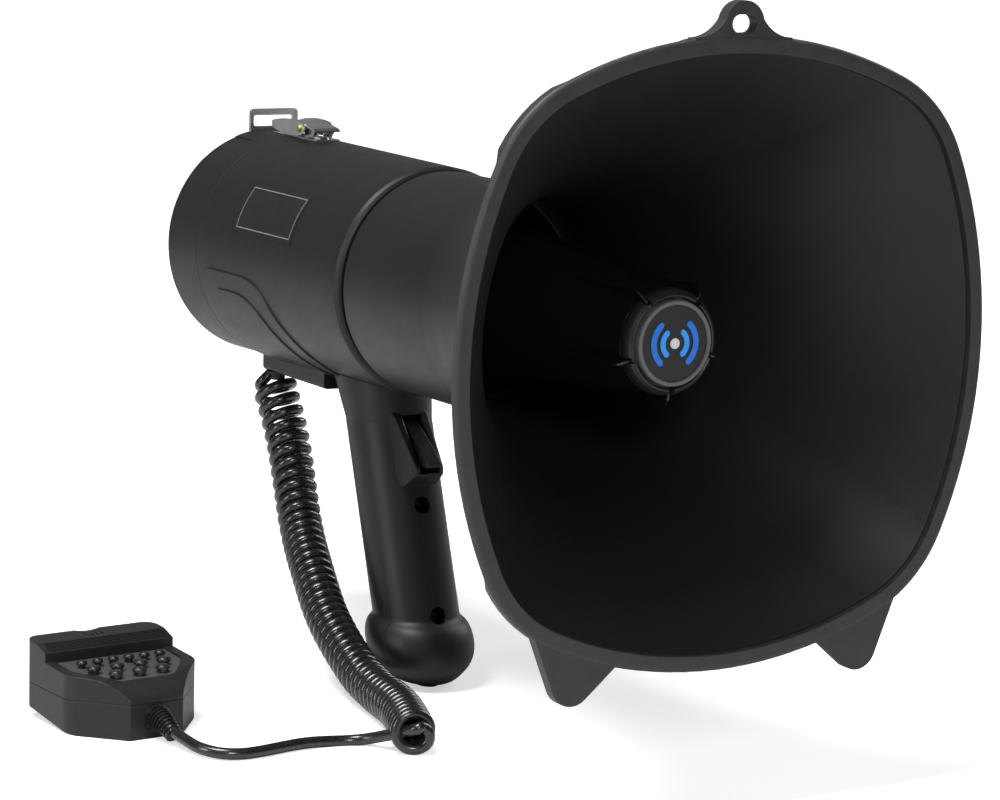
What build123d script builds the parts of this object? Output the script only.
from build123d import *
import math
import os

# Handheld megaphone with a fist microphone on a coiled cord. Millimetres.
# Origin: centre of the horn's mouth, on the horn axis. The mouth faces -Y,
# the body runs back along +Y, +Z is up and the grip points down.

# Horn
RIM_HALF = 121.7
RIM_SIDE_R = 189.0
RIM_CORNER_R = 57.0
GUARD_BAND = 6.7
GUARD_DEPTH = 9.0
LIP = 2.6
WALL = 2.6
NECK_R = 49.0
THROAT_R = 46.0
FLANGE_Y = 3.0
FLANGE_INSET = 4.1
FLARE_END = 150.0
FLARE_POWER = 1.8
NECK_END = 218.2
BOARD_Y = 255.4

# Body and rear cover
BODY_FRONT = 222.0
BODY_FRONT_R = 50.4
SEAM = 353.8
REAR = 386.4
REAR_R = 53.1
SPIGOT_R = 46.3
SPIGOT_BORE = 43.4
HORN_SCREW_R = 41.0
LABEL_THICK = 0.25
HINGE_Y = 353.8
HINGE_Z = -56.5

# Horn plug and nose
NOSE = 38.2
RIBS = 5
RIB_START = 180.0
TONE_R = 12.0
FIT = 0.05

# Latch
LATCH_TOP = 51.9
LEVER_PIVOT = (347.0, 56.1)
LINK_PIVOT = (340.6, 56.8)
LATCH_PIN_R = 1.2
BASE_RIVETS = ((-2.4, 331.0), (2.4, 331.0), (0.0, 340.6))
CATCH_RIVETS = (359.4, 369.4)
BRACKET_Y = 380.2
BRACKET_THICK = 1.6
BRACKET_RIVETS = (-8.0, 8.0)
PIN_PLAY = 0.05
TRIGGER_PIN_R = 1.5

# Grip
GRIP_TOP = -50.0
GRIP_ROOT = -66.0
KNOB_TOP = -149.0
GRIP_END = -180.0
GRIP_HALF_X = 19.0
GRIP_HALF_Y = 20.9
GRIP_RAKE = 0.347
GRIP_MID_Y = 251.5
GRIP_MID_Z = -100.0
GRIP_WALL = 2.6
GRIP_SPLIT = -12.0
SCREW_Z = (-100.3, -147.1)
TRIGGER_Z = -75.0
SWITCH_DEPTH = 7.0
SWITCH_THICK = 9.0
SWITCH_LOW = -8.0
TRIGGER_PIVOT = (250.0, -60.5)
TRIGGER_HUB_R = 3.2
TRIGGER_HALF = 3.5
OPENING_HALF = 5.0
RAKE_DEG = math.degrees(math.atan(GRIP_RAKE))

# Batteries: eight C cells
CELL_R = 12.9
CELL_LENGTH = 50.0
CELL_PITCH = 13.9
CELL_FRONT = 274.4

# Microphone, lying on the ground level with the end of the grip
MIC_PLACE = (-145.5, 194.3, GRIP_END)
MIC_TURN = 4.0
MIC_HALF = 30.5
MIC_NOSE_HALF = 12.4
MIC_LENGTH = 60.0
MIC_SHOULDER = 21.0
MIC_HEIGHT = 33.5
MIC_SPLIT = 15.0
MIC_KICK = 18.0
MIC_WALL = 2.2
PANEL_BACK = (41.0, 24.6)
PANEL_FRONT = (7.0, 22.6)
PANEL_THICK = 1.0
KEY_TRAVEL = 1.2
KEY_CLEAR = 0.3
LEAD_HEIGHT = 8.5
GLAND = (-15.0, 343.0)
KEY_ROWS = (
    ("key_back", 6, 7.4, 0.0, 31.0, 2.3),
    ("key_middle", 4, 11.0, -1.2, 22.0, 3.0),
    ("key_front", 3, 11.0, -1.2, 13.0, 3.0),
)


def save(name, shape):
    """Write one named piece."""
    export_step(shape, "parts/" + name + ".step")


# ---------------------------------------------------------------- helpers


def cross_plane(y):
    """The plane across the horn axis at y, with x to +X and y to +Z."""
    return Plane(origin=(0, y, 0), x_dir=(1, 0, 0), z_dir=(0, -1, 0))


def disc(y0, y1, radius, x=0, z=0):
    """A cylinder along the horn axis from y0 to y1."""
    solid = Cylinder(radius, y1 - y0, align=(Align.CENTER, Align.CENTER, Align.MIN))
    return Pos(x, y0, z) * Rot(-90, 0, 0) * solid


def tube(y0, y1, outer, inner, x=0, z=0):
    """A ring along the horn axis."""
    return disc(y0, y1, outer, x, z) - disc(y0 - 1, y1 + 1, inner, x, z)


def cross_pin(y, z, radius, x0, x1):
    """A cylinder along X from x0 to x1."""
    solid = Cylinder(radius, x1 - x0, align=(Align.CENTER, Align.CENTER, Align.MIN))
    return Pos(x0, y, z) * Rot(0, 90, 0) * solid


def post(x, y, z0, z1, radius):
    """A cylinder along Z from z0 to z1."""
    solid = Cylinder(radius, z1 - z0, align=(Align.CENTER, Align.CENTER, Align.MIN))
    return Pos(x, y, z0) * solid


def block(x0, x1, y0, y1, z0, z1):
    """A box between two corners."""
    solid = Box(x1 - x0, y1 - y0, z1 - z0, align=(Align.MIN, Align.MIN, Align.MIN))
    return Pos(x0, y0, z0) * solid


def turned(*outline_points):
    """Revolve a closed (y, radius) outline about the horn axis."""
    points = [(0, y, r) for y, r in outline_points]
    return revolve(make_face(Polyline(*points, close=True)), Axis.Y)


def side_plate(points, x0, x1, corner=0.0):
    """A plate drawn in the (y, z) side view and spanning x0 to x1."""
    face = make_face(Polyline(*[(x0, y, z) for y, z in points], close=True))
    plate = extrude(face, x1 - x0, dir=(1, 0, 0))
    if corner:
        plate = fillet(plate.edges().filter_by(Axis.X), corner)
    return plate


def around(count, shape, start=0.0):
    """Copies of a shape turned evenly about the horn axis."""
    return [Rot(0, start + 360 * i / count, 0) * shape for i in range(count)]


# ------------------------------------------------------------ horn outline

SIDE_RATIO = RIM_SIDE_R / RIM_HALF - 1
CORNER_RATIO = 1 - RIM_CORNER_R / RIM_HALF
CORNER_PLACE = (
    -SIDE_RATIO + math.sqrt(2 * (SIDE_RATIO + CORNER_RATIO) ** 2 - SIDE_RATIO**2)
) / 2
TANGENT = math.atan2(CORNER_PLACE, CORNER_PLACE + SIDE_RATIO)


def outline(y, half, squareness=1.0, inset=0.0):
    """Bulged square of tangent arcs across the axis at y; a circle at squareness 0."""
    side_centre = -SIDE_RATIO * squareness * half
    corner_centre = CORNER_PLACE * squareness * half
    side_r = half - side_centre - inset
    corner_r = half * (1 - CORNER_RATIO * squareness) - inset
    a = side_centre + side_r * math.cos(TANGENT)
    b = side_r * math.sin(TANGENT)
    c = corner_centre + corner_r * math.cos(math.pi / 4)
    edges = []
    for turn in range(4):
        for start, mid, end in (
            ((a, -b), (half - inset, 0), (a, b)),
            ((a, b), (c, c), (b, a)),
        ):
            arc = ThreePointArc(start, mid, end)
            edges.append(arc.rotate(Axis.Z, 90 * turn))
    wire = Wire(edges)
    return cross_plane(y) * wire


def outline_solid(sections):
    """Loft through (y, half, squareness, inset) sections."""
    return loft([Face(outline(*section)) for section in sections])


FLARE_STEPS = (0.0, 0.07, 0.18, 0.33, 0.5, 0.68, 0.85, 1.0)


def flare_section(t, inset):
    """Section of the bell a fraction t of the way from its flange to its neck."""
    spread = 1 - t
    fade = FLANGE_INSET * spread
    half = NECK_R + (RIM_HALF - FLANGE_INSET - NECK_R) * spread**FLARE_POWER
    y = FLANGE_Y + (FLARE_END - FLANGE_Y) * t
    return y, half + fade, spread, fade + inset


def make_horn_bell():
    outer = outline_solid([flare_section(t, 0) for t in FLARE_STEPS])
    inner = outline_solid([flare_section(t, NECK_R - THROAT_R) for t in FLARE_STEPS])
    bell = outer - inner
    flange = extrude(Face(outline(FLANGE_Y, RIM_HALF, 1.0, LIP + FIT)), -LIP)
    flange -= extrude(Face(outline(FLANGE_Y, RIM_HALF, 1.0, FLANGE_INSET + 2.5)), -LIP)
    neck = tube(FLARE_END, NECK_END, NECK_R, THROAT_R)
    spigot = tube(NECK_END - 12, 240, SPIGOT_R, SPIGOT_BORE)
    seat = tube(NECK_END - 2.2, NECK_END, SPIGOT_R, 38)
    for x, z in horn_screw_places():
        seat -= disc(NECK_END - 3, NECK_END + 1, 1.25, x, z)
    return bell + flange + neck + spigot + seat


def horn_screw_places():
    """Four screws through the tone arm's flange into the seat in the neck."""
    angles = [math.radians(45 + 90 * i) for i in range(4)]
    return [(HORN_SCREW_R * math.cos(a), HORN_SCREW_R * math.sin(a)) for a in angles]


def make_horn_screws():
    screws = []
    for x, z in horn_screw_places():
        shank = disc(NECK_END - 1.8, 221.7, 1.2, x, z)
        screws.append(shank + disc(221.65, 223.4, 1.9, x, z))
    return Compound(children=screws)


def make_rim_guard():
    shell = loft(
        [
            Face(outline(0, RIM_HALF, 1.0, 0.0)),
            Face(outline(GUARD_DEPTH, RIM_HALF, 1.0, 0.8)),
        ],
        ruled=True,
    )
    front_edges = shell.edges().group_by(Axis.Y)[0]
    shell = fillet(front_edges, 2.0)
    guard = shell + make_lug()
    for side in (-1, 1):
        guard += make_foot(side)
    opening = extrude(Face(outline(-1, RIM_HALF, 1.0, GUARD_BAND)), -(GUARD_DEPTH + 3))
    pocket = extrude(
        Face(outline(FLANGE_Y - FIT, RIM_HALF, 1.0, LIP)), -(GUARD_DEPTH + 3)
    )
    return guard - opening - pocket


def make_lug():
    """Strap eye on the top of the rim, faired into it."""
    top = ThreePointArc((-8.6, 127.5), (0, 134.4), (8.6, 127.5))
    right = ThreePointArc((8.6, 127.5), (12.6, 123.4), (22, 120.5))
    left = ThreePointArc((-22, 120.5), (-12.6, 123.4), (-8.6, 127.5))
    base = Polyline((22, 120.5), (22, 116.5), (-22, 116.5), (-22, 120.5))
    face = make_face([top, right, base, left])
    lug = extrude(cross_plane(0.6) * face, -5.4)
    hole = extrude(cross_plane(-1) * Pos(0, 125.7) * SlotOverall(11.4, 7.0), -10)
    return lug - hole


def make_foot(side):
    """Rounded triangular foot at a lower corner of the rim."""
    points = [(side * 85.8, -95), (side * 70.3, -134.3), (side * 42.7, -111)]
    face = make_face(Polyline(*points, close=True))
    tip = face.vertices().sort_by(Axis.Y)[0]
    face = fillet(tip, 9.0)
    return extrude(cross_plane(0.6) * face, -5.0)


# ------------------------------------------------------- throat and driver


def make_throat_bowl():
    inner = Spline((185, 44.2), (203, 41.2), (213.2, 31), (209, 19), (198, 13.9))
    outer = Spline((198, TONE_R + FIT), (211.8, 18.0), (215.4, 31), (205, 43.2), (185, 45.9))
    edges = [
        inner,
        Line((198, 13.9), (198, TONE_R + FIT)),
        outer,
        Line((185, 45.9), (185, 44.2)),
    ]
    face = Plane(origin=(0, 0, 0), x_dir=(0, 1, 0), z_dir=(1, 0, 0)) * make_face(edges)
    bowl = revolve(face, Axis.Y) & disc(185, 215.9, THROAT_R - 2 * FIT)
    return bowl - tube(204, 217, 60, SPIGOT_BORE - 0.1) - disc(184, 217, TONE_R + FIT)


def make_tone_arm():
    body = turned((76, TONE_R), (76, 9.5), (221.6, 6.5), (221.6, TONE_R))
    flange = tube(NECK_END + FIT, 221.6, SPIGOT_BORE - 0.1, 7)
    for x, z in horn_screw_places():
        flange -= disc(NECK_END - 1, 223, 1.3, x, z)
    return body + flange


PLUG_FRONT = NOSE + 7.3
PLUG_BACK = 180.0
PLUG_FRONT_R = 21.2
PLUG_BACK_R = 34.0


def plug_radius(y):
    t = (y - PLUG_FRONT) / (PLUG_BACK - PLUG_FRONT)
    return PLUG_FRONT_R + (PLUG_BACK_R - PLUG_FRONT_R) * t


def rib_blade():
    """One thin lengthwise rib, drawn towards +Z and rounded at its front."""
    tip = NOSE + 3.4
    edges = [
        Line((tip + 1.6, 18.2), (tip, 20.0)),
        ThreePointArc((tip, 20.0), (tip + 1.6, 24.6), (tip + 6.6, 26.2)),
        Line((tip + 6.6, 26.2), (98.0, 25.4)),
        Line((98.0, 25.4), (98.0, 18.2)),
        Line((98.0, 18.2), (tip + 1.6, 18.2)),
    ]
    face = Plane(origin=(-0.5, 0, 0), x_dir=(0, 1, 0), z_dir=(1, 0, 0)) * make_face(edges)
    return extrude(face, 1.0, dir=(1, 0, 0))


def make_horn_plug():
    skin = turned(
        (PLUG_FRONT, 0),
        (PLUG_FRONT, plug_radius(PLUG_FRONT)),
        (PLUG_BACK - 1.0, plug_radius(PLUG_BACK - 1.0)),
        (PLUG_BACK, plug_radius(PLUG_BACK) - 1.0),
        (PLUG_BACK, plug_radius(PLUG_BACK) - 1.8),
        (62, plug_radius(62) - 2.4),
        (56, plug_radius(56) - 7),
        (53, 6),
        (58, 0),
    )
    hub = tube(104, 150, 14.2, TONE_R + FIT)
    plug = skin + hub
    web = block(-0.9, 0.9, 106, 148, 13.4, 26.6)
    for rib in around(3, web):
        plug += rib
    for rib in around(RIBS, rib_blade(), RIB_START):
        plug += rib
    core = turned((62.5, 0), (62.5, 18.8), (98.5, 22.4), (98.5, 0))
    return plug - core


def make_nose_cap():
    """Segmented rounded bezel and inner ring round the badge, on a backing disc."""
    back = PLUG_FRONT - 0.1
    front = NOSE + 1.4
    edges = [
        Line((back, 18.0), (front + 0.6, 18.0)),
        ThreePointArc((front + 0.6, 18.0), (front, 18.6), (front + 0.5, 19.3)),
        ThreePointArc((front + 0.5, 19.3), (front + 2.2, 20.7), (back, PLUG_FRONT_R)),
        Line((back, PLUG_FRONT_R), (back, 18.0)),
    ]
    profile = Plane(origin=(0, 0, 0), x_dir=(0, 1, 0), z_dir=(1, 0, 0)) * make_face(edges)
    bezel = revolve(profile, Axis.Y)
    slot = block(-1.2, 1.2, NOSE - 2, back, 17.7, 22)
    for cut in around(RIBS, slot, RIB_START):
        bezel -= cut
    plate = disc(NOSE + 5, back, 18.1)
    ring = turned(
        (NOSE + 5.1, 15.05),
        (NOSE + 0.5, 15.05),
        (NOSE, 15.4),
        (NOSE, 16.6),
        (NOSE + 0.5, 17.0),
        (NOSE + 5.1, 17.0),
    )
    return bezel + plate + ring


def make_driver():
    """Compression driver pieces, front to back."""
    diaphragm = turned(
        (228.2, 0), (223.4, 20), (225.4, 24), (223.8, 28), (221.7, 28.6), (221.7, 35.9), (226.7, 35.9),
        (226.7, 28.6), (225.0, 28.4), (226.4, 24), (225.2, 20.8), (231.4, 20.8), (231.4, 20.2),
        (225.0, 19.6), (229.0, 0),
    )
    plate = tube(226.8, 231.4, 36, 21.4)
    magnet = tube(231.5, 243.5, 36, 24)
    yoke = disc(243.6, 248.6, 36) + disc(229.6, 244, 19.4)
    return {
        "driver_diaphragm": diaphragm,
        "driver_top_plate": plate,
        "driver_magnet": magnet,
        "driver_yoke": yoke,
    }


def make_amplifier_board():
    """Round circuit board on spacers behind the driver, with its larger components."""
    board = disc(BOARD_Y, BOARD_Y + 1.6, 40)
    for x, z in ((30, 0), (-15, 26), (-15, -26)):
        board += disc(248.65, BOARD_Y + 0.1, 3, x, z)
    for x, z, r, h in ((12, 20, 5, 5.6), (-14, 14, 4, 5.0), (20, -14, 3.2, 4.6), (-22, -8, 3.2, 4.6)):
        board += disc(BOARD_Y + 1.5, BOARD_Y + 1.6 + h, r, x, z)
    board += block(-9, 9, BOARD_Y + 1.5, BOARD_Y + 5.6, -30, -22)
    board += block(-12, -4, BOARD_Y + 1.5, BOARD_Y + 3.6, -6, 4)
    return board


def cell_places():
    return [(x * CELL_PITCH, z * CELL_PITCH) for x in (-1, 1) for z in (-1, 1)]


def make_battery_holder():
    """Insulating plate and a four-bore sleeve for the cells."""
    holder = disc(266, 268, 48.3) + disc(267.9, 351, 34.4)
    for x, z in cell_places():
        holder -= disc(268, 352, CELL_R + 0.4, x, z)
    return holder


def make_batteries():
    cells = []
    for layer in range(2):
        y = CELL_FRONT + layer * CELL_LENGTH
        for x, z in cell_places():
            cells.append(disc(y + 0.05, y + 1.3, 3.2, x, z) + disc(y + 1.2, y + CELL_LENGTH, CELL_R, x, z))
    return Compound(children=cells)


def make_contact_springs():
    springs = []
    for x, z in cell_places():
        springs.append(Pos(x, 268.6, z) * Rot(-90, 0, 0) * helix_wire(4.0, 0.45, 1.8, 5.2))
    return Compound(children=springs)


def make_cover_contacts():
    """Two spring strips on the rear cover, each bridging a pair of cells."""
    strips = []
    for side in (-1, 1):
        z = side * CELL_PITCH
        strip = block(-19, 19, 375.0, 375.8, z - 4.5, z + 4.5)
        strip += block(-2.5, 2.5, 375.7, REAR - WALL - 0.05, z - 4.5, z + 4.5)
        strips.append(strip)
    return Compound(children=strips)


def make_cover_gasket():
    ring = body_radius(SEAM) - WALL
    return tube(SEAM - 2.2, SEAM + 3.4, ring - 0.15, ring - 1.8)


# -------------------------------------------------------- body and cover


def body_radius(y):
    t = (y - BODY_FRONT) / (REAR - BODY_FRONT)
    return BODY_FRONT_R + (REAR_R - BODY_FRONT_R) * t


def body_outline(extra, y0, y1):
    """Solid of the body's outer cone, grown by extra, from y0 to y1."""
    return turned((y0, 0), (y0, body_radius(y0) + extra), (y1, body_radius(y1) + extra), (y1, 0))


def arch_face(inset):
    """Side view of the raised arch that carries the cord and the grip."""
    back = SEAM - 5.3 - inset
    top = -6.3 - inset
    edges = [
        Line((back, -70), (back, top - 8)),
        ThreePointArc((back, top - 8), (back - 2.6, top - 2.2), (back - 8.6, top)),
        Line((back - 8.6, top), (310 + inset, top)),
        ThreePointArc((310 + inset, top), (296 + inset, top - 4.2), (287 + inset, top - 13.4)),
        Line((287 + inset, top - 13.4), (272 + inset, top - 36)),
        Line((272 + inset, top - 36), (272 + inset, -70)),
        Line((272 + inset, -70), (back, -70)),
    ]
    return Plane(origin=(-70, 0, 0), x_dir=(0, 1, 0), z_dir=(1, 0, 0)) * make_face(edges)


def make_body_shell():
    lip = 2.2
    outer = turned(
        (BODY_FRONT, 0),
        (BODY_FRONT, BODY_FRONT_R - lip),
        (BODY_FRONT + 0.6, BODY_FRONT_R - 0.8),
        (BODY_FRONT + lip, body_radius(BODY_FRONT + lip)),
        (SEAM - 0.15, body_radius(SEAM)),
        (SEAM - 0.15, 0),
    )
    arch_low = extrude(arch_face(0), 140, dir=(1, 0, 0)) & body_outline(0.7, 268, SEAM - 5.3)
    arch_high = extrude(arch_face(8.5), 140, dir=(1, 0, 0)) & body_outline(1.3, 268, SEAM - 5.3)
    boss = block(-20, 20, 288, SEAM - 5.3, -56.4, -30)
    boss = fillet(boss.edges().filter_by(Axis.Y), 2.0)
    pad = block(-6.7, 6.7, 325.6, 352.4, 40, LATCH_TOP)
    flat = block(-6.7, 6.7, 325.6, 352.4, LATCH_TOP, 60)
    knuckles = cover_knuckles((-11, -5.1), (5.1, 11), SEAM - 5.4)
    inside = turned(
        (BODY_FRONT - 1, 0),
        (BODY_FRONT - 1, SPIGOT_R + FIT),
        (BODY_FRONT + 5, SPIGOT_R + FIT),
        (BODY_FRONT + 5, body_radius(BODY_FRONT + 5) - WALL),
        (SEAM + 1, body_radius(SEAM) - WALL),
        (SEAM + 1, 0),
    )
    rivet_holes = [post(x, y, 40, 60, 1.25) for x, y in BASE_RIVETS]
    gland_hole = post(*GLAND, -60, -40, 3.4)
    wire_hole = post(0, 270, -70, -40, 4.0)
    shell = outer + arch_low + arch_high + boss + pad + knuckles
    return shell - inside - flat - gland_hole - wire_hole - rivet_holes


def cover_knuckles(left, right, y_root):
    """Hinge knuckles at the bottom of the body, bored for the hinge pin."""
    knuckles = None
    for x0, x1 in (left, right):
        piece = cross_pin(HINGE_Y, HINGE_Z, 3.2, x0, x1)
        piece += block(x0, x1, y_root, HINGE_Y - 0.6, HINGE_Z - 1.6, -51)
        piece -= cross_pin(HINGE_Y, HINGE_Z, 1.5 + PIN_PLAY, x0 - 1, x1 + 1)
        knuckles = piece if knuckles is None else knuckles + piece
    return knuckles


def make_rear_cover():
    edge = 3.4
    y0 = SEAM + 0.15
    outer = turned(
        (y0, 0),
        (y0, body_radius(SEAM)),
        (REAR - edge, REAR_R),
        (REAR - 1.0, REAR_R - 1.1),
        (REAR, REAR_R - edge),
        (REAR, 0),
    )
    inside = turned(
        (y0 - 1, 0), (y0 - 1, body_radius(SEAM) - WALL), (REAR - WALL, REAR_R - WALL), (REAR - WALL, 0)
    )
    pad = block(-6.7, 6.7, SEAM + 2, 372, 40, LATCH_TOP) & disc(y0, REAR - 1, REAR_R - 0.2)
    knuckle = cross_pin(HINGE_Y, HINGE_Z, 3.2, -4.9, 4.9)
    knuckle += block(-4.9, 4.9, HINGE_Y + 0.6, HINGE_Y + 6, HINGE_Z - 1.6, -51)
    knuckle -= cross_pin(HINGE_Y, HINGE_Z, 1.5 + PIN_PLAY, -6, 6)
    cover = outer + pad + knuckle - inside
    cover -= block(-6.7, 6.7, SEAM + 2, 372, LATCH_TOP, REAR_R + 1)
    for centre in (59.4, 120.6):
        scoop = turned_sector(centre, 20.2, SEAM + 10, REAR + 1, REAR_R - 0.9, REAR_R + 3)
        cover -= scoop
    cover += block(-11.5, 11.5, BRACKET_Y + BRACKET_THICK, REAR - WALL + 0.2, 42, 51.5)
    cover -= block(-12.55, 12.55, BRACKET_Y - FIT, BRACKET_Y + BRACKET_THICK + FIT, 42, 60)
    for y in CATCH_RIVETS:
        cover -= post(0, y, 40, 60, 1.25)
    for x in BRACKET_RIVETS:
        cover -= disc(BRACKET_Y, REAR - 1.6, 1.25, x, 46.5)
    return cover


def make_cover_rivets():
    """Two rivets for the latch catch and two for the strap bracket."""
    rivets = [rivet(0, y, LATCH_TOP + 0.8, 3.2) for y in CATCH_RIVETS]
    for x in BRACKET_RIVETS:
        head = disc(BRACKET_Y - 1.0, BRACKET_Y - FIT, 2.2, x, 46.5)
        rivets.append(head + disc(BRACKET_Y - 0.2, REAR - 2.0, 1.2, x, 46.5))
    return Compound(children=rivets)


def turned_sector(centre_deg, span_deg, y0, y1, inner, outer):
    """Part of a ring about the horn axis, spanning an angle measured from +X to +Z."""
    half = math.radians(span_deg / 2)
    mid = math.radians(centre_deg)

    def at(radius, angle):
        return (radius * math.cos(angle), radius * math.sin(angle))

    edges = [
        ThreePointArc(at(inner, mid - half), at(inner, mid), at(inner, mid + half)),
        Line(at(inner, mid + half), at(outer, mid + half)),
        ThreePointArc(at(outer, mid + half), at(outer, mid), at(outer, mid - half)),
        Line(at(outer, mid - half), at(inner, mid - half)),
    ]
    return extrude(cross_plane(y0) * make_face(edges), -(y1 - y0))


def make_strap_bracket():
    """Upright slotted plate let into the rear cover."""
    plate = Pos(0, 55.5) * RectangleRounded(25, 14.0, 2.0)
    foot = Pos(0, 47.0) * Rectangle(25, 9.0)
    slot = Pos(-0.5, 56.9) * RectangleRounded(20.6, 5.2, 1.2)
    sketch = plate + foot - slot
    for x in BRACKET_RIVETS:
        sketch -= Pos(x, 46.5) * Circle(1.25)
    return extrude(cross_plane(BRACKET_Y) * sketch, -BRACKET_THICK)


def side_label():
    """Blank plate curved on to the left side of the body."""
    plate = turned_sector(152.0, 26.0, 267.4, 320.6, 40, 60)
    skin = body_outline(LABEL_THICK, 260, 330) - body_outline(0.02, 259, 331)
    return plate & skin


# ---------------------------------------------------------------- latch


def rivet(x, y, top, depth):
    """Pan-headed rivet standing on the surface at height top."""
    return post(x, y, top - depth, top + 0.1, 1.2) + post(x, y, top + 0.02, top + 1.0, 2.1)


def make_latch_rivets():
    return Compound(children=[rivet(x, y, LATCH_TOP + 0.8, 3.2) for x, y in BASE_RIVETS])


def make_latch_base():
    """Riveted plate on the body with two ears for the lever's pin."""
    py, pz = LEVER_PIVOT
    top = LATCH_TOP
    base = block(-6.0, 6.0, 326, py + 3, top, top + 0.8)
    ear = [(py - 3.6, top), (py + 3, top), (py + 3, pz + 1.2), (py + 1.4, pz + 2.4), (py - 1.4, pz + 2.4)]
    for side in (-1, 1):
        base += side_plate(ear, side * 3.2 - 0.4, side * 3.2 + 0.4)
    base -= cross_pin(py, pz, LATCH_PIN_R + PIN_PLAY, -8, 8)
    for x, y in BASE_RIVETS:
        base -= post(x, y, top - 1, top + 2, 1.25)
    return base


def make_latch_lever():
    """Folded plate: a top that slopes to a turned-down lip, and two cheeks."""
    py, pz = LEVER_PIVOT
    skin = 0.8
    rear = (345.2, 60.3)
    front = (328.6, 57.6)
    lip = (326.8, 56.6)
    under_lip = (lip[0] + 0.3, lip[1] - 0.6)
    under_front = (front[0] + 0.2, front[1] - skin)
    under_rear = (rear[0], rear[1] - skin)
    lever = side_plate([rear, front, lip, under_lip, under_front, under_rear], -6.6, 6.6)
    cheek = [(328.8, 57.2), (332.2, 53.3), (338.0, 53.1)]
    cheek += [(py + 0.8, 54.3), (py + 2.2, pz), (py + 1.0, pz + 1.8), (345.2, 59.8)]
    for side in (-1, 1):
        lever += side_plate(cheek, side * 4.9 - 0.45, side * 4.9 + 0.45)
    lever -= cross_pin(py, pz, LATCH_PIN_R + PIN_PLAY, -8, 8)
    lever -= cross_pin(*LINK_PIVOT, LATCH_PIN_R + PIN_PLAY, -8, 8)
    return lever


def make_latch_link():
    """Boat-shaped cheeks either side of the lever, joined by the hook bar."""
    ly, lz = LINK_PIVOT
    nose = ly - 4.4
    edges = [
        ThreePointArc((ly - 2.2, lz + 2.8), (352.6, 60.3), (367.6, 58.4)),
        Line((367.6, 58.4), (367.6, 55.4)),
        ThreePointArc((367.6, 55.4), (353.0, 52.9), (ly - 2.0, lz - 3.0)),
        ThreePointArc((ly - 2.0, lz - 3.0), (nose, lz - 0.1), (ly - 2.2, lz + 2.8)),
    ]
    face = make_face(edges)
    link = block(-7.3, 7.3, 364.6, 367.6, 57.2, 58.2)
    for side in (-1, 1):
        plane = Plane(origin=(side * 7.2 - 0.5, 0, 0), x_dir=(0, 1, 0), z_dir=(1, 0, 0))
        link += extrude(plane * face, 1.0, dir=(1, 0, 0))
    return link - cross_pin(ly, lz, LATCH_PIN_R + PIN_PLAY, -9, 9)


def make_latch_catch():
    """Plate on the rear cover with the nose that the hook bar pulls on."""
    top = LATCH_TOP
    catch = block(-5.6, 5.6, SEAM + 3, 371.4, top, top + 0.8)
    catch += side_plate(
        [(362.6, top), (362.6, 56.8), (365.8, 56.8), (365.8, 56.0), (363.4, 56.0), (363.4, top)], -4.6, 4.6
    )
    for y in CATCH_RIVETS:
        catch -= post(0, y, top - 1, top + 2, 1.25)
    return catch


def make_link_pin():
    """Pin through the lever and link, with a small head at each end."""
    pin = cross_pin(*LINK_PIVOT, LATCH_PIN_R, -7.9, 7.9)
    return pin + cross_pin(*LINK_PIVOT, 1.7, -8.4, -7.75) + cross_pin(*LINK_PIVOT, 1.7, 7.75, 8.4)


# ----------------------------------------------------------------- grip


# The knob at the grip's end, as (drop below its top, growth of the section's half sizes)
KNOB_SWELL = ((0, 0), (1.4, 0.5), (3.6, 2.6), (7, 4.2), (11, 4.8), (16, 4.2), (21, 1.8), (25.6, -2.8))
KNOB_SWELL += ((29, -8.6), (31, -14.4))


def grip_y(z):
    return GRIP_MID_Y + GRIP_RAKE * (z - GRIP_MID_Z)


def grip_slice(z, hx, hy, shrink):
    """Elliptical section of the grip at height z, centred on its raked axis."""
    return Pos(0, grip_y(z), z) * Ellipse(hx - shrink, hy - shrink)


def grip_solid(shrink):
    """Raked elliptical grip: flared root, straight handle and a rounded knob."""
    hx, hy = GRIP_HALF_X, GRIP_HALF_Y
    root = [(GRIP_TOP + 14, hx + 3.2, hy + 7.0), (GRIP_TOP - 4, hx + 1.4, hy + 2.6), (GRIP_ROOT, hx, hy)]
    handle = [(GRIP_ROOT, hx, hy), (KNOB_TOP, hx, hy)]
    knob = [(KNOB_TOP - drop, hx + swell, hy + swell) for drop, swell in KNOB_SWELL]
    solid = loft([grip_slice(*row, shrink) for row in root])
    solid += loft([grip_slice(*row, shrink) for row in handle], ruled=True)
    solid += loft([grip_slice(*row, shrink) for row in knob])
    return solid


def along_grip(z, forward=0.0):
    """Plane on the grip's front, x to +X, y up along the grip, z outwards and forwards."""
    rake = math.radians(RAKE_DEG)
    normal = (0, -math.cos(rake), math.sin(rake))
    y = grip_y(z) - GRIP_HALF_Y
    return Plane(
        origin=(0, y + forward * normal[1], z + forward * normal[2]), x_dir=(1, 0, 0), z_dir=normal
    )


def front_half():
    """Block that covers the front part of the grip, ahead of the parting face."""
    plane = along_grip(-115, GRIP_SPLIT)
    return extrude(plane * Rectangle(80, 240), 60)


def rounded_pad(plane, half_x, low, high, corner):
    """Rounded rectangle on a plane, from low to high along the grip."""
    centre = (low + high) / 2
    return plane * Pos(0, centre) * RectangleRounded(2 * half_x, high - low, corner)


# Side views, as (y, z): the raised frame round the trigger and the opening through it
FRAME_SIDE = ((250, -58), (243.4, -61.6), (225.2, -82.4), (225.2, -86.0), (233.6, -92.4), (248, -92))
OPENING_SIDE = ((262, -61.8), (232, -61.8), (212, -72), (212, -85.2), (262, -85.2))


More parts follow.
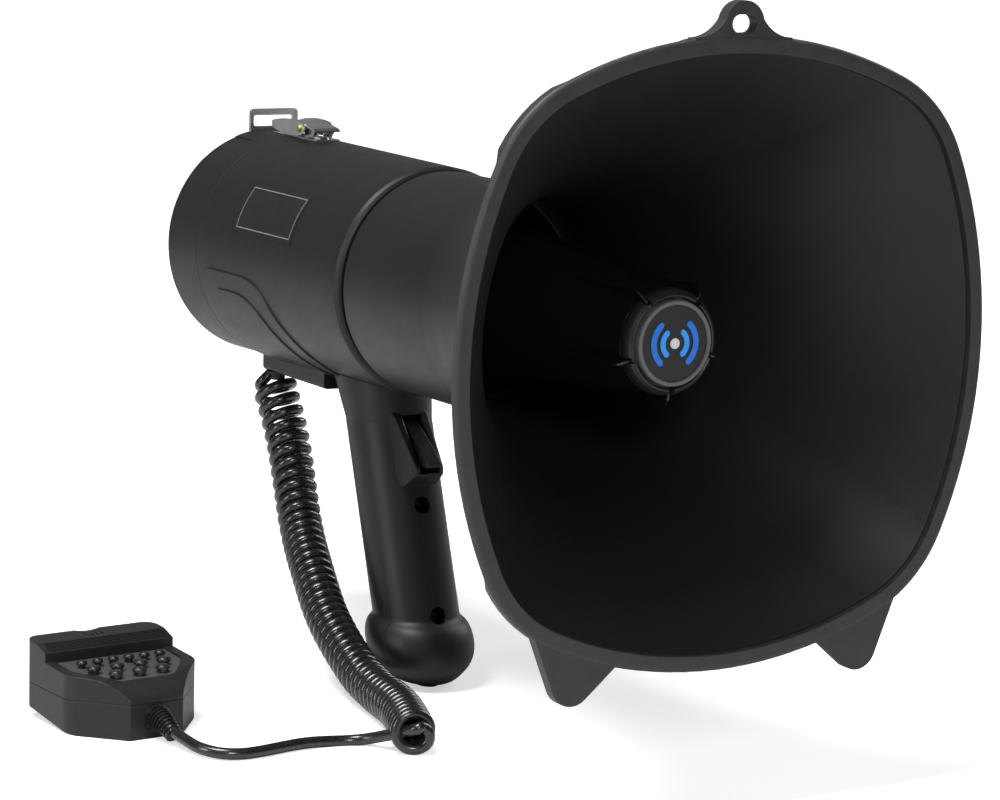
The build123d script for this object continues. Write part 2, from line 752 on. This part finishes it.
def body_envelope():
    """Everything the grip's root butts against: the body, its arch steps and its boss."""
    plain = body_outline(FIT, 200, 272)
    low_step = body_outline(0.7 + FIT, 271.9, 280.5)
    high_step = body_outline(1.3 + FIT, 280.4, SEAM - 4)
    boss = block(-20.1, 20.1, 287.9, SEAM, -56.5, -30)
    return plain + low_step + high_step + boss


def make_grip():
    solid = grip_solid(0)
    hollow = grip_solid(GRIP_WALL) & block(-40, 40, 180, 320, GRIP_END + 4, -40)
    body = body_envelope()
    mid_wall = grip_solid(GRIP_WALL / 2)
    front = front_half()
    frame = loft(
        [
            rounded_pad(along_grip(TRIGGER_Z, -9), 10.4, -34, 34, 3),
            rounded_pad(along_grip(TRIGGER_Z, 13), 6.7, -34, 34, 3),
        ]
    )
    frame &= side_plate(FRAME_SIDE, -20, 20, 2.6)
    frame = fillet(frame.edges().filter_by(lambda e: e.center().Y < 245), 1.1)
    recess = side_plate(OPENING_SIDE, -OPENING_HALF, OPENING_HALF)
    shell = solid - hollow - body
    front_shell = (shell & front) + ((frame & front) - hollow - body) - recess
    py, pz = TRIGGER_PIVOT
    for side in (-1, 1):
        ear = block(*sorted((side * 6.9, side * 9.4)), py - 3.4, py + 3.2, pz - 4, pz + 4)
        front_shell += (ear & front) - body
    front_shell -= cross_pin(py, pz, TRIGGER_PIN_R + 0.02, -8.6, 8.6)
    front_shell -= cross_pin(py, pz, TRIGGER_HUB_R + 0.3, -6.6, 6.6)
    front_shell -= extrude(along_grip(-115, GRIP_SPLIT) * Rectangle(80, 240), FIT)
    shelf_plane = along_grip(TRIGGER_Z, -SWITCH_DEPTH - SWITCH_THICK - FIT)
    shelf = extrude(shelf_plane * Pos(0, SWITCH_LOW) * Rectangle(6, 17), -28)
    rear_shell = shell - front + (shelf & mid_wall)
    bores = None
    screws = None
    for z in SCREW_Z:
        plane = along_grip(z)
        hole = extrude(plane * Circle(4.0), 8) + extrude(plane * Circle(4.0), -9)
        bores = hole if bores is None else bores + hole
        collar = extrude(along_grip(z, -2.2) * Circle(6.0), -8.0) - extrude(plane * Circle(4.0), -9)
        front_shell += collar - extrude(plane * Circle(1.7), -14)
        pillar = extrude(along_grip(z, GRIP_SPLIT - 0.1) * Circle(5.0), -30)
        rear_shell += pillar & mid_wall
        rear_shell -= extrude(along_grip(z) * Circle(1.5), -30)
        screw = extrude(along_grip(z, -6.2) * Circle(3.4), -2.4)
        screw -= extrude(along_grip(z, -6.1) * Rectangle(4.0, 0.9), -1.0)
        screw += extrude(along_grip(z, -8.4) * Circle(1.45), -14)
        screws = screw if screws is None else screws + screw
    front_shell -= bores
    return front_shell, rear_shell, screws


def make_trigger():
    """Lever hinged at its top, with its toe standing out of the raised frame."""
    py, pz = TRIGGER_PIVOT
    profile = [
        (py + 2.4, pz + 2.2),
        (py - 1.6, pz + 2.4),
        (py - 3.0, pz - 1.6),
        (py - 7.0, pz - 4.4),
        (238.2, -68.0),
        (225.8, -76.2),
        (220.9, -80.2),
        (221.4, -81.9),
        (223.6, -82.4),
        (228.5, -82.0),
        (240.5, -78.5),
        (py + 0.5, pz - 7.0),
        (py + 3.0, pz - 1.5),
    ]
    lever = side_plate(profile, -TRIGGER_HALF, TRIGGER_HALF, 0.7)
    lever += cross_pin(py, pz, TRIGGER_HUB_R, -5.9, TRIGGER_HALF)
    return lever - cross_pin(py, pz, TRIGGER_PIN_R + PIN_PLAY, -8, 8)


def make_micro_switch():
    face = along_grip(TRIGGER_Z, -SWITCH_DEPTH)
    case = extrude(face * Pos(0, SWITCH_LOW) * Rectangle(6.4, 19), -SWITCH_THICK)
    button = extrude(face * Pos(0, -3.0) * Rectangle(3, 2.4), 2.6)
    return case + button


def make_trigger_spring():
    """Torsion spring round the trigger pin, beside the trigger's hub."""
    py, pz = TRIGGER_PIVOT
    return Pos(4.0, py, pz) * Rot(0, 90, 0) * helix_wire(2.3, 0.3, 0.8, 2.4)


def helix_wire(radius, wire, pitch, height):
    """A coil spring standing on the origin along +Z."""
    path = Helix(pitch, height, radius)
    start = Plane(origin=path @ 0, z_dir=path % 0)
    return sweep(start * Circle(wire), path=path)


# ----------------------------------------------------------- microphone


def mic_outline(inset):
    """Plan of the microphone: square back, chamfered front and a narrow nose."""
    w = MIC_HALF - inset
    n = MIC_NOSE_HALF - inset * 0.5
    back = MIC_LENGTH - inset
    front = inset
    points = [(-w, back), (-w, MIC_SHOULDER), (-n, front), (n, front), (w, MIC_SHOULDER), (w, back)]
    face = make_face(Polyline(*points, close=True))
    corners = face.vertices()
    face = fillet(corners.filter_by(lambda v: v.Y > MIC_LENGTH / 2 + 5), max(6 - inset, 1.5))
    face = fillet(face.vertices().filter_by(lambda v: abs(v.Y - MIC_SHOULDER) < 0.01), max(11 - inset, 2))
    return face


def mic_side(points):
    """Extrude a side-view outline of (back, height) points right across the microphone."""
    face = make_face(Polyline(*[(-60, b, h) for b, h in points], close=True))
    return extrude(face, 120, dir=(1, 0, 0))


def mic_floor(back):
    """Height of the underside, flat at the front and rising towards the back."""
    return max(0.0, (back - MIC_KICK) * 0.118)


def panel_height(back):
    (b0, h0), (b1, h1) = PANEL_FRONT, PANEL_BACK
    return h0 + (h1 - h0) * (back - b0) / (b1 - b0)


def panel_outline(inset):
    """Plan of the key panel: straight at the back and rounded at the front."""
    w = MIC_HALF - 4.4 - inset
    n = MIC_NOSE_HALF + 1.0 - inset
    front = 8.4 + inset
    points = [(-w, 41.0), (-w, 25), (-n, front), (n, front), (w, 25), (w, 41.0)]
    face = make_face(Polyline(*points, close=True))
    face = fillet(face.vertices().filter_by(lambda v: 20 < v.Y < 30), 12.0)
    return fillet(face.vertices().filter_by(lambda v: v.Y < front + 0.01), 7.0)


def make_mic_case():
    full = extrude(mic_outline(0), MIC_HEIGHT)
    above = mic_side(
        [(-5, 60), (-5, 17.0), (0, 17.0), (1.2, 18.4), (3.4, 20.4), (6.6, 22.6), (10, 24.2), (14, 24.8)]
        + [(41, 26.4), (41, 30.2), (49, 32.8), (MIC_LENGTH + 1, MIC_HEIGHT), (MIC_LENGTH + 1, 60)]
    )
    below = mic_side([(MIC_KICK, -5), (MIC_KICK, 0), (70, mic_floor(70)), (70, -5)])
    case = full - above - below
    ribs = None
    for i in range(6):
        b = 42.1 + i * 1.1
        h = 30.2 + (b - 41) * 0.325
        rib = block(-28.6, 28.6, b - 0.3, b + 0.3, h - 0.5, h + 0.5)
        ribs = rib if ribs is None else ribs + rib
    well = extrude(Pos(0, 0, 10) * panel_outline(0), 40) & mic_side(
        [(-5, panel_height(-5)), (-5, 50), (41, 50), (41, panel_height(41))]
    )
    inside = extrude(Pos(0, 0, MIC_WALL) * mic_outline(MIC_WALL), 19.6 - MIC_WALL) & mic_side(
        [(0, MIC_WALL), (0, 14.6), (10, 19.6), (70, 19.6)]
        + [(70, MIC_WALL + mic_floor(70)), (MIC_KICK, MIC_WALL)]
    )
    attic = block(-24, 24, 43.5, MIC_LENGTH - MIC_WALL, 15, 28.0)
    dish = Pos(-1.0, 54.4, MIC_HEIGHT + 24.2) * Sphere(25.6)
    dish &= block(-12, 12, 48.5, 60, 30, 40)
    grille = None
    for i in range(5):
        slit = block(-5.4 + 2.2 * i - 0.5, -5.4 + 2.2 * i + 0.5, 52.2, 56.2, 26, 36)
        grille = slit if grille is None else grille + slit
    relief_hole = along_mic(12, -2, 3.0, LEAD_HEIGHT)
    return case + ribs - well - inside - attic - dish - grille - relief_hole


def key_places(index):
    name, count, pitch, shift, back, radius = KEY_ROWS[index]
    return [(shift + pitch * (i - (count - 1) / 2), back) for i in range(count)]


def along_mic(b0, b1, radius, height):
    """A cylinder along the microphone's length, from b0 forward to b1."""
    solid = Cylinder(radius, b0 - b1, align=(Align.CENTER, Align.CENTER, Align.MIN))
    return Pos(0, b0, height) * Rot(90, 0, 0) * solid


def make_strain_relief():
    """Ribbed rubber sleeve, drooping a little towards its tip."""
    relief = along_mic(8, -2, 2.9, LEAD_HEIGHT) + along_mic(-0.05, -1.8, 6.0, LEAD_HEIGHT)
    for i in range(9):
        reach = 1.4 + 1.55 * i
        droop = 0.02 * reach * reach
        place = Pos(0, -reach, LEAD_HEIGHT - droop) * Rot(2.2 * reach, 0, 0)
        wide = place * Rot(90, 0, 0) * Cylinder(5.6 - 0.26 * i, 1.0)
        narrow = place * Rot(90, 0, 0) * Cylinder(4.7 - 0.24 * i, 2.0)
        relief += wide + narrow
    return relief - along_mic(9, 3, 2.2, LEAD_HEIGHT)


def make_mic():
    case = make_mic_case()
    upper = mic_side([(-9, MIC_SPLIT + 0.08), (-9, 70), (70, 70), (70, MIC_SPLIT + 0.08)])
    lower = mic_side([(-9, MIC_SPLIT - 0.08), (-9, -9), (70, -9), (70, MIC_SPLIT - 0.08)])
    top = case & upper
    bottom = case & lower
    low = panel_height(-5)
    high = panel_height(40.9)
    panel = extrude(Pos(0, 0, 10) * panel_outline(0.12), 40) & mic_side(
        [(-5, low + 0.04), (-5, low + PANEL_THICK), (40.9, high + PANEL_THICK), (40.9, high + 0.04)]
    )
    keys = {}
    for row in range(len(KEY_ROWS)):
        name, count, pitch, shift, back, radius = KEY_ROWS[row]
        for i, (x, b) in enumerate(key_places(row)):
            face = panel_height(b) + PANEL_THICK
            shaft = radius - 0.8
            hole = post(x, b, 15, 40, shaft + 0.12)
            top -= hole
            panel -= hole
            stem = post(x, b, 17.6, face + 1.6, shaft)
            base = face + KEY_TRAVEL + KEY_CLEAR
            cap = post(x, b, base, base + 1.8, radius)
            cap = fillet(cap.edges().group_by(Axis.Z)[-1], 1.3)
            keys[name + "_" + str(i + 1)] = stem + cap
    board = block(-20, 20, 14, 42, 13.4, 15.0)
    capsule = post(-1, 53.0, 19.0, 26.5, 3.4)
    pillars = [(x, b) for x in (-24.7, 24.7) for b in (47, 26)]
    screws = None
    for x, b in pillars:
        base = mic_floor(b)
        bottom += post(x, b, base + MIC_WALL - 0.3, MIC_SPLIT - 0.3, 3.2) - post(x, b, 0, 40, 1.4)
        bottom -= post(x, b, -1, base + 1.6, 2.8) + post(x, b, 0, 40, 1.4)
        top += post(x, b, MIC_SPLIT + 0.3, 20, 3.2)
        top -= post(x, b, 0, 18.6, 1.4)
        screw = post(x, b, base + 0.5, base + 1.55, 2.5) + post(x, b, base + 1.5, 18.0, 1.25)
        screws = screw if screws is None else screws + screw
    relief = make_strain_relief()
    pieces = {
        "mic_top_shell": top,
        "mic_bottom_shell": bottom,
        "mic_panel": panel,
        "mic_board": board,
        "mic_capsule": capsule,
        "mic_screws": screws,
        "mic_strain_relief": relief,
    }
    pieces.update(keys)
    place = Pos(*MIC_PLACE) * Rot(0, 0, MIC_TURN)
    return {name: place * shape for name, shape in pieces.items()}


COIL_PATH = (
    (-15.5, 344.0, -66.0),
    (-15.0, 330.0, -91.0),
    (-21.0, 306.0, -122.0),
    (-29.0, 278.4, -138.0),
    (-36.4, 248.3, -153.0),
    (-41.0, 214.0, -166.0),
    (-43.3, 191.7, -170.3),
    (-49.2, 160.3, -170.6),
    (-62.7, 123.8, -170.6),
)
LEAD_PATH = (
    (-63.7, 125.8, -177.6),
    (-74.0, 148.0, -177.6),
    (-97.3, 153.2, -177.6),
    (-127.9, 150.0, -177.6),
    (-141.0, 160.0, -176.6),
    (-144.2, 176.4, -176.2),
)
COIL_R = 8.6
LEAD_R = 2.15


def swept(path_points, radius):
    path = Spline(*path_points)
    return sweep(Plane(origin=path @ 0, z_dir=path % 0) * Circle(radius), path=path)


def make_mic_cord():
    """The cord's room: a thick run where it is coiled and a thin one where it is straight."""
    return swept(COIL_PATH, COIL_R) + swept(LEAD_PATH, LEAD_R)


def make_cable_gland():
    x, y = GLAND
    gland = post(x, y, -60.4, -50, 3.35) + post(x, y, -57.6, -56.45, 5.2)
    return gland - post(x, y, -61, -49, 2.2)


def main():
    os.makedirs("parts", exist_ok=True)
    save("rim_guard", make_rim_guard())
    save("horn_bell", make_horn_bell())
    save("throat_bowl", make_throat_bowl())
    save("tone_arm", make_tone_arm())
    save("horn_plug", make_horn_plug())
    save("nose_cap", make_nose_cap())
    save("horn_screws", make_horn_screws())
    save("nose_badge", disc(NOSE + 0.8, NOSE + 4.95, 15.0))
    for name, shape in make_driver().items():
        save(name, shape)
    save("body_shell", make_body_shell())
    save("rear_cover", make_rear_cover())
    save("amplifier_board", make_amplifier_board())
    save("battery_holder", make_battery_holder())
    save("batteries", make_batteries())
    save("contact_springs", make_contact_springs())
    save("cover_contacts", make_cover_contacts())
    save("cover_gasket", make_cover_gasket())
    save("cover_hinge_pin", cross_pin(HINGE_Y, HINGE_Z, 1.5, -11.4, 11.4))
    save("cover_rivets", make_cover_rivets())
    save("strap_bracket", make_strap_bracket())
    save("side_label", side_label())
    save("latch_base", make_latch_base())
    save("latch_lever", make_latch_lever())
    save("latch_link", make_latch_link())
    save("latch_catch", make_latch_catch())
    save("lever_pin", cross_pin(*LEVER_PIVOT, LATCH_PIN_R, -5.4, 5.4))
    save("link_pin", make_link_pin())
    save("latch_rivets", make_latch_rivets())
    front_shell, rear_shell, screws = make_grip()
    save("grip_front_shell", front_shell)
    save("grip_rear_shell", rear_shell)
    save("grip_screws", screws)
    save("trigger", make_trigger())
    save("trigger_pin", cross_pin(*TRIGGER_PIVOT, TRIGGER_PIN_R, -8.4, 8.4))
    save("trigger_spring", make_trigger_spring())
    save("micro_switch", make_micro_switch())
    for name, shape in make_mic().items():
        save(name, shape)
    save("mic_cord", make_mic_cord())
    save("cable_gland", make_cable_gland())


main()
